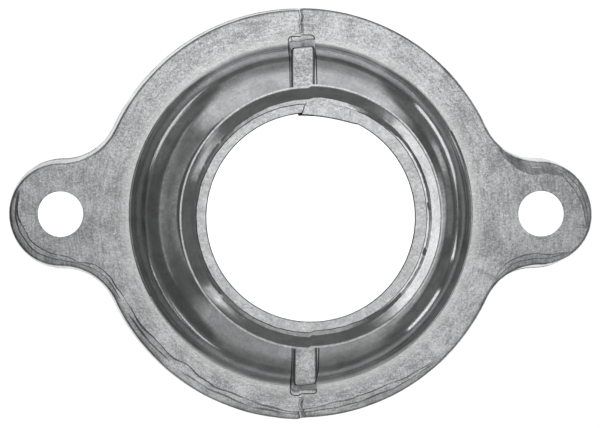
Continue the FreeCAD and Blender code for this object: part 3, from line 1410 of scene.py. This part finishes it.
@dataclass(frozen=True)
class CastMetal:
    """A finish of the casting's aluminium alloy, with sizes in millimetres.

    It is mixed from three patterns: patches where the metal flowed or was rubbed, the grain of
    the surface, and scratches.
    """

    name: str
    light_hex: str
    dark_hex: str
    roughness_low: float
    roughness_high: float
    patch_size: float
    grain_size: float
    grain_depth: float
    wave_size: float
    wave_depth: float
    pit_share: float = 0.0
    pit_spacing: float = 3.2
    pit_depth: float = 1.6
    scratch_depth: float = 0.0
    scratch_turn: float = 0.5
    grain_contrast: float = 0.4
    streak_contrast: float = 0.0
    end_dulling: float = 0.0
    sheltered: float = 0.0

    def build(self) -> bpy.types.Material:
        """Makes the material.

        Returns:
            The new material.
        """
        material = bpy.data.materials.new(self.name)
        material.use_nodes = True
        tree = material.node_tree
        shader = tree.nodes["Principled BSDF"]
        shader.inputs["Metallic"].default_value = 1.0
        place = add_node(tree, "TexCoord").outputs["Object"]
        patches, grain, waves = (
            add_node(tree, "TexNoise", inputs={
                "Vector": place, "Scale": 1 / (size * MM), "Detail": detail, "Roughness": rough,
                "Distortion": distortion,
            })
            for size, detail, rough, distortion in (
                (self.patch_size, 5.0, 0.62, 0.4),
                (self.grain_size, 3.0, 0.60, 0.0),
                (self.wave_size, 2.0, 0.50, 0.3),
            )
        )
        speckle = add_node(tree, "MapRange", inputs=(grain, 0.3, 0.7, -1.0, 1.0))
        mottle = add_node(tree, "MapRange", inputs=(patches, 0.34, 0.66, 0.15, 0.85))
        if self.streak_contrast:
            streaks = add_node(tree, "MapRange", inputs=(self._streaks(tree, place), 0.3, 0.7, -1.0, 1.0))
            mottle = add_node(tree, "Math", {"operation": "MULTIPLY_ADD"},
                              (streaks, self.streak_contrast, mottle))
        mottle = add_node(tree, "Math", {"operation": "MULTIPLY_ADD", "use_clamp": True},
                          (speckle, self.grain_contrast, mottle))
        shown = add_node(tree, "Mix", {"data_type": "RGBA"}, {
            "Factor": mottle, "A": linear_from_hex(self.dark_hex), "B": linear_from_hex(self.light_hex),
        }).outputs["Result"]
        if self.end_dulling:
            shown = self._dull_ends(tree, place, shown)
        if self.sheltered:
            shown = self._sheltered(tree, place, patches, shown)
        tree.links.new(shown, shader.inputs["Base Color"])
        rough = add_node(tree, "MapRange", inputs=(grain, 0.3, 0.7, self.roughness_high, self.roughness_low))
        tree.links.new(rough.outputs[0], shader.inputs["Roughness"])
        normal = self._relief(tree, place, [(waves, self.wave_depth), (grain, self.grain_depth)])
        tree.links.new(normal.outputs[0], shader.inputs["Normal"])
        return material

    def _relief(self, tree: bpy.types.NodeTree, place: NodeOrSocket,
                layers: list[tuple[NodeOrSocket, float]]) -> bpy.types.Node:
        """Adds a bump for each layer over the one before, with the pits and scratches last.

        Args:
            tree: The node tree to add to.
            place: The Object coordinates.
            layers: The first layers' heights and depths, in millimetres.

        Returns:
            The last bump.
        """
        if self.pit_share:
            pits = add_node(tree, "TexVoronoi", {"feature": "F1"},
                            {"Vector": place, "Scale": 1 / (self.grain_size * self.pit_spacing * MM)})
            hollow = add_node(tree, "MapRange", inputs=(pits, 0.0, self.pit_share, 0.0, 1.0))
            layers.append((hollow, self.grain_depth * self.pit_depth))
        if self.scratch_depth:
            layers.append((self._scratches(tree, place), self.scratch_depth))
        bump = None
        for height, depth in layers:
            under = {"Normal": bump} if bump else {}
            bump = add_node(tree, "Bump", inputs={
                "Strength": 1.0, "Distance": depth * MM, "Height": height, **under,
            })
        return bump

    def _dull_ends(self, tree: bpy.types.NodeTree, place: NodeOrSocket,
                   under: NodeOrSocket) -> bpy.types.NodeSocket:
        """Greys the colour towards the two ears.

        Args:
            tree: The node tree to add to.
            place: The Object coordinates.
            under: The colour so far.

        Returns:
            The new colour.
        """
        # The middle along X, and where the grey begins and is whole on either side of it
        middle, inner, outer = 3 * MM, 20 * MM, 46 * MM
        across = add_node(tree, "SeparateXYZ", inputs=(place,))
        moved = add_node(tree, "Math", {"operation": "SUBTRACT"}, (across, middle))
        off_middle = add_node(tree, "Math", {"operation": "ABSOLUTE"}, (moved,))
        grey_share = add_node(tree, "MapRange", inputs=(off_middle, inner, outer, 0.0, self.end_dulling))
        return add_node(tree, "Mix", {"data_type": "RGBA", "blend_type": "MULTIPLY"}, {
            "Factor": grey_share, "A": under, "B": linear_from_hex("A5A6A7"),
        }).outputs["Result"]

    def _sheltered(self, tree: bpy.types.NodeTree, place: NodeOrSocket, patches: NodeOrSocket,
                   under: NodeOrSocket) -> bpy.types.NodeSocket:
        """Lightens the colour in a ring round the dome's foot.

        Args:
            tree: The node tree to add to.
            place: The Object coordinates.
            patches: The noise that makes the ring's border uneven.
            under: The colour so far.

        Returns:
            The new colour.
        """
        # The ring's inner and outer borders from its radius, and how much the outer one wanders
        inner, outer, uneven = (-2.0, -1.0), (1.4, 3.2), 4.0
        flat = add_node(tree, "VectorMath", {"operation": "MULTIPLY"}, (place, (1, 1, 0)))
        away = add_node(tree, "VectorMath", {"operation": "LENGTH"}, (flat,)).outputs["Value"]
        wavy = add_node(tree, "Math", {"operation": "MULTIPLY_ADD"}, (patches, uneven * MM, away))
        within = add_node(tree, "MapRange", inputs=(
            wavy, (self.sheltered + outer[0]) * MM, (self.sheltered + outer[1]) * MM, 0.55, 0.0))
        beyond = add_node(tree, "MapRange", inputs=(
            away, (self.sheltered + inner[0]) * MM, (self.sheltered + inner[1]) * MM, 0.0, 1.0))
        ring = add_node(tree, "Math", {"operation": "MULTIPLY"}, (within, beyond))
        return add_node(tree, "Mix", {"data_type": "RGBA"}, {
            "Factor": ring, "A": under, "B": linear_from_hex("F8F8F8"),
        }).outputs["Result"]

    def _streaks(self, tree: bpy.types.NodeTree, place: NodeOrSocket) -> bpy.types.Node:
        """Adds faint streaks that run round the axis, as the metal flowed.

        Args:
            tree: The node tree to add to.
            place: The Object coordinates.

        Returns:
            The streaks' noise.
        """
        # How wide a streak is, and how many go end to end in a radian
        width, turns = 0.45 * MM, 14.0
        flat = add_node(tree, "VectorMath", {"operation": "MULTIPLY"}, (place, (1, 1, 0)))
        way = add_node(tree, "VectorMath", {"operation": "NORMALIZE"}, (flat,))
        away = add_node(tree, "VectorMath", {"operation": "LENGTH"}, (flat,)).outputs["Value"]
        turned = add_node(tree, "VectorMath", {"operation": "SCALE"}, {0: way, "Scale": turns})
        radial = add_node(tree, "Math", {"operation": "MULTIPLY"}, (away, 1 / width))
        lifted = add_node(tree, "CombineXYZ", inputs=(0.0, 0.0, radial))
        point = add_node(tree, "VectorMath", {"operation": "ADD"}, (turned, lifted))
        return add_node(tree, "TexNoise", inputs={
            "Vector": point, "Scale": 1.0, "Detail": 3.0, "Roughness": 0.65,
        })

    def _scratches(self, tree: bpy.types.NodeTree, place: NodeOrSocket) -> bpy.types.Node:
        """Adds long thin marks that cross one another.

        Args:
            tree: The node tree to add to.
            place: The Object coordinates.

        Returns:
            The node that is 1 in a mark and 0 beside it.
        """
        # How long a mark is, and how many times longer than wide
        size, stretch = 2.4 * MM, 14
        layers = []
        for turn, shift in ((self.scratch_turn, 0.0), (self.scratch_turn + 1.9, 3.7)):
            bent = add_node(tree, "Mapping", inputs={
                "Vector": place, "Location": (shift, shift, 0), "Rotation": (0, 0, turn),
                "Scale": (1, stretch, 1),
            })
            marks = add_node(tree, "TexNoise", inputs={
                "Vector": bent, "Scale": 1 / size, "Detail": 2.0, "Roughness": 0.5, "Distortion": 0.0,
            })
            layers.append(add_node(tree, "MapRange", inputs=(marks, 0.56, 0.66, 0.0, 1.0)))
        return add_node(tree, "Math", {"operation": "MAXIMUM"}, tuple(layers))


def casting_materials() -> dict[Finish, bpy.types.Material]:
    """Makes the casting's finishes.

    Returns:
        A material for each finish.
    """
    finishes = {
        # High-pressure die-cast aluminium alloy, tumbled with stones after trimming. The stones
        # leave a satin, mottled grey with small dents and crossing marks.
        Finish.TUMBLED: CastMetal(
            Finish.TUMBLED.value, "F0F1F2", "AAABAC", 0.26, 0.38, 5.0, 0.30, 0.014, 1.7, 0.04,
            pit_share=0.34, scratch_depth=0.004, grain_contrast=0.48, streak_contrast=0.34,
            end_dulling=0.45, sheltered=33.0),
        # The same alloy, frozen against the polished steel of the side slides. It keeps a closed
        # skin that mirrors its surroundings softly.
        Finish.SLIDE: CastMetal(
            Finish.SLIDE.value, "DEDFE0", "B4B5B6", 0.13, 0.20, 4.0, 0.5, 0.0012, 4.0, 0.03,
            grain_contrast=0.2, streak_contrast=0.15),
        # The same alloy, torn and sheared where the gate was trimmed off, so its grain is open.
        Finish.TRIMMED: CastMetal(
            Finish.TRIMMED.value, "F8F9FA", "C8C9CA", 0.28, 0.42, 1.8, 0.30, 0.020, 1.2, 0.04,
            pit_share=0.35),
        # The same alloy, against a core that was drawn out along the wall.
        Finish.CORED: CastMetal(
            Finish.CORED.value, "D0D1D2", "B4B5B6", 0.24, 0.36, 6.0, 0.5, 0.006, 4.0, 0.03),
        # Painted shade: the same alloy in a dull dark grey, laid on the narrow groove and on walls and
        # edges where shade falls.
        Finish.BURNT: CastMetal(
            Finish.BURNT.value, "6E6F70", "4C4D4E", 0.45, 0.60, 3.0, 0.3, 0.004, 2.0, 0.02),
        # The same alloy, milled flat to seal, which leaves it bright with fine cutter marks.
        Finish.MACHINED: CastMetal(
            Finish.MACHINED.value, "DCDDDE", "C6C7C8", 0.20, 0.30, 12.0, 0.25, 0.003, 8.0, 0.004,
            scratch_depth=0.003),
    }
    return {finish: metal.build() for finish, metal in finishes.items()}


@dataclass(frozen=True)
class SoftLight:
    """A rectangular studio light, with its place and size in millimetres."""

    name: str
    bearing: float
    elevation: float
    distance: float
    width: float
    height: float
    radiance: float

    def build(self) -> bpy.types.Object:
        """Adds the light, turned to the object.

        Returns:
            The light's object.
        """
        light = bpy.data.lights.new(self.name, "AREA")
        light.shape = "RECTANGLE"
        light.size = self.width * MM
        light.size_y = self.height * MM
        light.energy = self.radiance * math.pi * light.size * light.size_y
        lamp = bpy.data.objects.new(self.name, light)
        bpy.context.collection.objects.link(lamp)
        flat = math.cos(math.radians(self.elevation))
        lamp.location = Vector((
            flat * math.cos(math.radians(self.bearing)),
            flat * math.sin(math.radians(self.bearing)),
            math.sin(math.radians(self.elevation)),
        )) * self.distance * MM
        lamp.rotation_euler = lamp.location.to_track_quat("Z", "Y").to_euler()
        lamp.visible_camera = False
        return lamp


class Measure(Enum):
    """What a light pattern goes by, in metres on the floor or as a share of a direction in the room."""

    ACROSS = "along X"
    ALONG = "along Y"
    UP = "along Z"
    OFF_AXIS = "away from X, on either side"
    AWAY = "away from the middle"
    FROM_MIDDLE = "away from the middle, with X narrowed"
    FROM_CORNER = "away from the two lit places far out on the left"
    FROM_HOLE = "away from the bolt holes"
    FROM_PANEL = "away from the panel's middle line, less towards its ends"
    FROM_CREST = "away from the panel's brightest line"
    SLANT = "along X and Y together"


@dataclass(frozen=True)
class Fade:
    """A soft change from one level to another between two values of a measure."""

    measure: Measure
    low: float
    high: float
    at_low: float
    at_high: float


def add_light_pattern(tree: bpy.types.NodeTree, measures: dict[Measure, NodeOrSocket],
                      patches: Sequence[Sequence[Fade]], blend: Blend, base: float) -> bpy.types.Node:
    """Adds the nodes of a light that differs from place to place.

    Args:
        tree: The node tree to add to.
        measures: Where the value of each measure comes from.
        patches: The patches of light, each with the fades that are multiplied for it.
        blend: How the patches are put together.
        base: The level that they start from.

    Returns:
        The node that gives the light's strength.
    """
    level = base
    for patch in patches:
        strength = 1.0
        for fade in patch:
            share = add_node(tree, "MapRange", {"interpolation_type": "SMOOTHSTEP"},
                             (measures[fade.measure], fade.low, fade.high, fade.at_low, fade.at_high))
            strength = add_node(tree, "Math", {"operation": "MULTIPLY"}, (share, strength))
        level = add_node(tree, "Math", {"operation": blend.value}, (strength, level))
    return level


# The patches of light that the metal mirrors from the floor, by place in metres. They draw the
# streaks on the dome and light the passage and the holes.
LEFT_ENDS = (Fade(Measure.ACROSS, -0.040, -0.030, 1.0, 0.0), Fade(Measure.AWAY, 0.080, 0.088, 1.0, 0.0))
FLOOR_LIGHT = (
    # To the right
    (Fade(Measure.ACROSS, 0.030, 0.044, 0.0, 1.32), Fade(Measure.OFF_AXIS, 0.060, 0.067, 1.0, 0.0),
     Fade(Measure.AWAY, 0.095, 0.101, 1.0, 0.0)),
    # To the upper left
    (Fade(Measure.ALONG, 0.021, 0.029, 0.0, 1.1), Fade(Measure.ALONG, 0.046, 0.052, 1.0, 0.0), *LEFT_ENDS),
    # To the lower left
    (Fade(Measure.ALONG, -0.063, -0.058, 0.0, 1.3), Fade(Measure.ALONG, -0.050, -0.045, 1.0, 0.0),
     *LEFT_ENDS),
    # Far out to the upper left and to the lower left
    (Fade(Measure.FROM_CORNER, 0.006, 0.014, 0.9, 0.0),),
    # Under the part, which lights the passage
    (Fade(Measure.ACROSS, 0.02, 0.05, 1.0, 0.6), Fade(Measure.AWAY, 0.022, 0.030, 2.0, 1.15),
     Fade(Measure.FROM_MIDDLE, 0.043, 0.048, 1.0, 0.0)),
    # Under the bolt holes
    (Fade(Measure.FROM_HOLE, 0.006, 0.008, 2.0, 0.0),),
)
FLOOR_BASE = 0.155
CORNER_PLACE = (-0.078, 0.064, 0.0)
HOLE_PLACE = (0.045, 0.0, 0.0)
MIDDLE_SCALE = (0.72, 1, 1)

# The light that the metal mirrors from the room, by direction
ROOM_LIGHT = (
    # A long panel overhead, whose sides spread towards its ends
    (Fade(Measure.OFF_AXIS, 0.40, 1.0, 0.73, 0.19), Fade(Measure.FROM_PANEL, 0.35, 0.47, 1.0, 0.0),
     Fade(Measure.FROM_CREST, 0.02, 0.17, 1.0, 0.74), Fade(Measure.ALONG, -0.12, 0.12, 0.73, 1.52)),
    # Faint light low at the panel's ends
    (Fade(Measure.OFF_AXIS, 0.22, 0.40, 0.0, 0.075), Fade(Measure.OFF_AXIS, 0.66, 0.80, 1.0, 0.0),
     Fade(Measure.UP, 0.45, 0.60, 1.0, 0.0), Fade(Measure.SLANT, -0.9, -0.5, 0.0, 1.0)),
)
ROOM_BASE = 0.102
PANEL_MIDDLE = 0.035
PANEL_SPREAD = -0.14
CREST_MIDDLE = 0.051


@dataclass(frozen=True)
class Studio:
    """The floor, the room's light and the camera, with sizes in millimetres."""

    camera_place: tuple[float, float, float] = (-18.35, 6.6, 357.0)
    lens: float = 111.8
    camera_shift: tuple[float, float] = (0.162, -0.0590)
    sensor: float = 36.0
    floor_size: float = 6000.0
    flag_radius: float = 50.0
    flag_height: float = 10.0
    flag_lift: float = 0.2
    flags: tuple[tuple[int, float], ...] = ((-23, 10.5), (-61, 25.0), (60, 32.0))

    def add_camera(self) -> None:
        """Adds the camera above the part, a little to the left and towards the top of the view."""
        data = bpy.data.cameras.new("camera")
        data.lens = self.lens
        data.sensor_width = self.sensor
        data.clip_start = 0.01
        camera = bpy.data.objects.new("camera", data)
        bpy.context.collection.objects.link(camera)
        camera.location = Vector(self.camera_place) * MM
        data.shift_x, data.shift_y = self.camera_shift
        bpy.context.scene.camera = camera

    def add_floor(self) -> None:
        """Adds the floor, white to the camera and patched with light in what the metal mirrors."""
        deselect_everything()
        bpy.ops.mesh.primitive_plane_add(size=self.floor_size * MM, location=(0, 0, 0))
        floor = bpy.context.object
        floor.name = "floor"
        floor.data.materials.append(self._floor_material())

    def _floor_material(self) -> bpy.types.Material:
        """Makes the floor's material, white to the camera and shaded by the part.

        Returns:
            The new material.
        """
        # Opal sheet lit from below: even white to the eye, with a faint shadow of the part
        material = bpy.data.materials.new("white_light_table")
        material.use_nodes = True
        tree = material.node_tree
        tree.nodes.remove(tree.nodes["Principled BSDF"])
        output = tree.nodes["Material Output"]
        place = add_node(tree, "TexCoord").outputs["Object"]
        parts = add_node(tree, "SeparateXYZ", inputs=(place,)).outputs
        off_axis = add_node(tree, "Math", {"operation": "ABSOLUTE"}, (parts["Y"],))
        mirrored_place = add_node(tree, "CombineXYZ", inputs=(parts["X"], off_axis, 0.0))
        folded = add_node(tree, "VectorMath", {"operation": "ABSOLUTE"}, (place,))
        narrowed = add_node(tree, "VectorMath", {"operation": "MULTIPLY"}, (place, MIDDLE_SCALE))
        measures = {Measure.ACROSS: parts["X"], Measure.ALONG: parts["Y"], Measure.OFF_AXIS: off_axis}
        for measure, operation, values in (
            (Measure.AWAY, "LENGTH", (place,)),
            (Measure.FROM_MIDDLE, "LENGTH", (narrowed,)),
            (Measure.FROM_CORNER, "DISTANCE", (mirrored_place, CORNER_PLACE)),
            (Measure.FROM_HOLE, "DISTANCE", (folded, HOLE_PLACE)),
        ):
            distance = add_node(tree, "VectorMath", {"operation": operation}, values)
            measures[measure] = distance.outputs["Value"]
        seen = add_light_pattern(tree, measures, FLOOR_LIGHT, Blend.GREATEST, FLOOR_BASE)
        mirrored = add_node(tree, "Emission", inputs={"Color": (1, 1, 1, 1), "Strength": seen})
        matt = add_node(tree, "BsdfDiffuse", inputs={"Color": linear_from_hex("F0F0F0")})
        dim = add_node(tree, "BsdfDiffuse", inputs={"Color": linear_from_hex("A0A0A0")})
        white = add_node(tree, "Emission", inputs={"Color": (1, 1, 1, 1), "Strength": 0.93})
        shown = add_node(tree, "AddShader", inputs=(dim, white))
        rays = add_node(tree, "LightPath").outputs
        glossy = add_node(tree, "MixShader", inputs=(rays["Is Glossy Ray"], matt, mirrored))
        final = add_node(tree, "MixShader", inputs=(rays["Is Camera Ray"], glossy, shown))
        tree.links.new(final.outputs[0], output.inputs["Surface"])
        return material

    def add_room(self) -> None:
        """Adds the room, white to the camera, with a long panel overhead in what the metal mirrors."""
        world = bpy.data.worlds.new("studio")
        bpy.context.scene.world = world
        world.use_nodes = True
        tree = world.node_tree
        background = tree.nodes["Background"]
        way = add_node(tree, "TexCoord").outputs["Generated"]
        parts = add_node(tree, "SeparateXYZ", inputs=(way,)).outputs
        off_axis = add_node(tree, "Math", {"operation": "ABSOLUTE"}, (parts["Y"],))
        offsets = []
        for middle in (PANEL_MIDDLE, CREST_MIDDLE):
            moved = add_node(tree, "Math", {"operation": "SUBTRACT"}, (parts["X"], middle))
            offsets.append(add_node(tree, "Math", {"operation": "ABSOLUTE"}, (moved,)))
        widened = add_node(tree, "Math", {"operation": "MULTIPLY_ADD"}, (off_axis, PANEL_SPREAD, offsets[0]))
        level = add_light_pattern(tree, {
            Measure.ALONG: parts["Y"],
            Measure.UP: parts["Z"],
            Measure.OFF_AXIS: off_axis,
            Measure.FROM_PANEL: widened,
            Measure.FROM_CREST: offsets[1],
            Measure.SLANT: add_node(tree, "Math", {"operation": "ADD"}, (parts["X"], parts["Y"])),
        }, ROOM_LIGHT, Blend.SUM, ROOM_BASE)
        rays = add_node(tree, "LightPath").outputs
        strength = add_node(tree, "Mix", {"data_type": "FLOAT"}, {
            "Factor": rays["Is Camera Ray"], "A": level, "B": 1.0,
        })
        background.inputs["Color"].default_value = (1, 1, 1, 1)
        tree.links.new(strength.outputs["Result"], background.inputs["Strength"])

    def add_flags(self) -> None:
        """Stands low dark cards round the part, which divide the floor's streaks on the dome."""
        # Matt black card, which gives back a little of the room's light
        material = bpy.data.materials.new("black_card")
        material.use_nodes = True
        shader = material.node_tree.nodes["Principled BSDF"]
        shader.inputs["Base Color"].default_value = linear_from_hex("1E1E1E")
        shader.inputs["Emission Color"].default_value = (1, 1, 1, 1)
        shader.inputs["Emission Strength"].default_value = 0.1
        for bearing, width in self.flags:
            angle = math.radians(bearing)
            place = Vector((math.cos(angle), math.sin(angle), 0)) * self.flag_radius
            place.z = self.flag_height / 2 + self.flag_lift
            deselect_everything()
            bpy.ops.mesh.primitive_plane_add(
                size=1, location=place * MM, rotation=(math.pi / 2, 0, angle + math.pi / 2))
            flag = bpy.context.object
            flag.name = f"flag_{bearing}"
            flag.scale = (width * MM, self.flag_height * MM, 1)
            flag.data.materials.append(material)
            flag.visible_camera = flag.visible_diffuse = flag.visible_shadow = False

    def add_lights(self) -> None:
        """Adds soft panels at the sides, which draw the bands on the dome."""
        for light in (
            SoftLight("strip_upper_right", 20, 22, 700, 130, 240, 0.5),
            SoftLight("side_panel_left", 174, 49, 700, 640, 60, 0.34),
            SoftLight("upper_panel_right", -15, 46, 700, 500, 100, 0.48),
            SoftLight("side_panel_right", 2, 24, 700, 260, 280, 0.11),
        ):
            light.build()

    def build(self) -> None:
        """Adds the whole studio."""
        self.add_floor()
        self.add_room()
        self.add_flags()
        self.add_lights()
        self.add_camera()
        bpy.context.scene.view_settings.view_transform = "Standard"


def main() -> None:
    """Builds the casting over the frame and the studio round it, and logs the casting's face count."""
    logging.basicConfig(level=logging.INFO, format="%(name)s: %(message)s")
    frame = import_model()
    record = frame["record"]
    mismatch = 0.3
    flange_sizes = FlangeSizes.from_frame(record, mismatch)
    bolt_x = flange_sizes.bolt_x
    # Centre, reach, width, tilt of the inner and the outer slope, share of the outer one and step
    facets = (
        Facet(-22.6, -32.0, 27.0, 2.2, 0.4, 2.0, 0.35, 0.32),
        Facet(12.0, -37.5, 17.0, 1.9, 0.8, 3.0),
        Facet(-bolt_x - 7.2, -7.2, 12.0, 1.9, 0.8, 4.0),
        Facet(-bolt_x + 7.6, -11.0, 5.6, 1.4, 1.0, 4.0),
        Facet(bolt_x - 1.6, -10.0, 7.6, 1.7, 2.0, 6.0),
        Facet(bolt_x + 8.4, 4.6, 7.5, 1.4, 4.0, 9.0),
        Facet(bolt_x - 0.5, 10.4, 7.4, 1.9, 30.0, 34.0, 0.3, 0.1),
    )
    casting = Casting(
        flange=Flange(flange_sizes, facets),
        neck=DomeAndNeck(NeckSizes.from_frame(record), flange_sizes.thickness),
        ribs=RibSizes(),
        seam=SeamSizes(),
        flap=GateFlapSizes(),
        mismatch=mismatch,
        materials=casting_materials(),
    )
    housing = casting.build()
    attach(housing, BODY)
    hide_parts(NODE)
    LOG.info("%s: %d faces", housing.name, len(housing.data.polygons))
    Studio().build()
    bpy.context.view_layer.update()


if __name__ == "__main__":
    main()
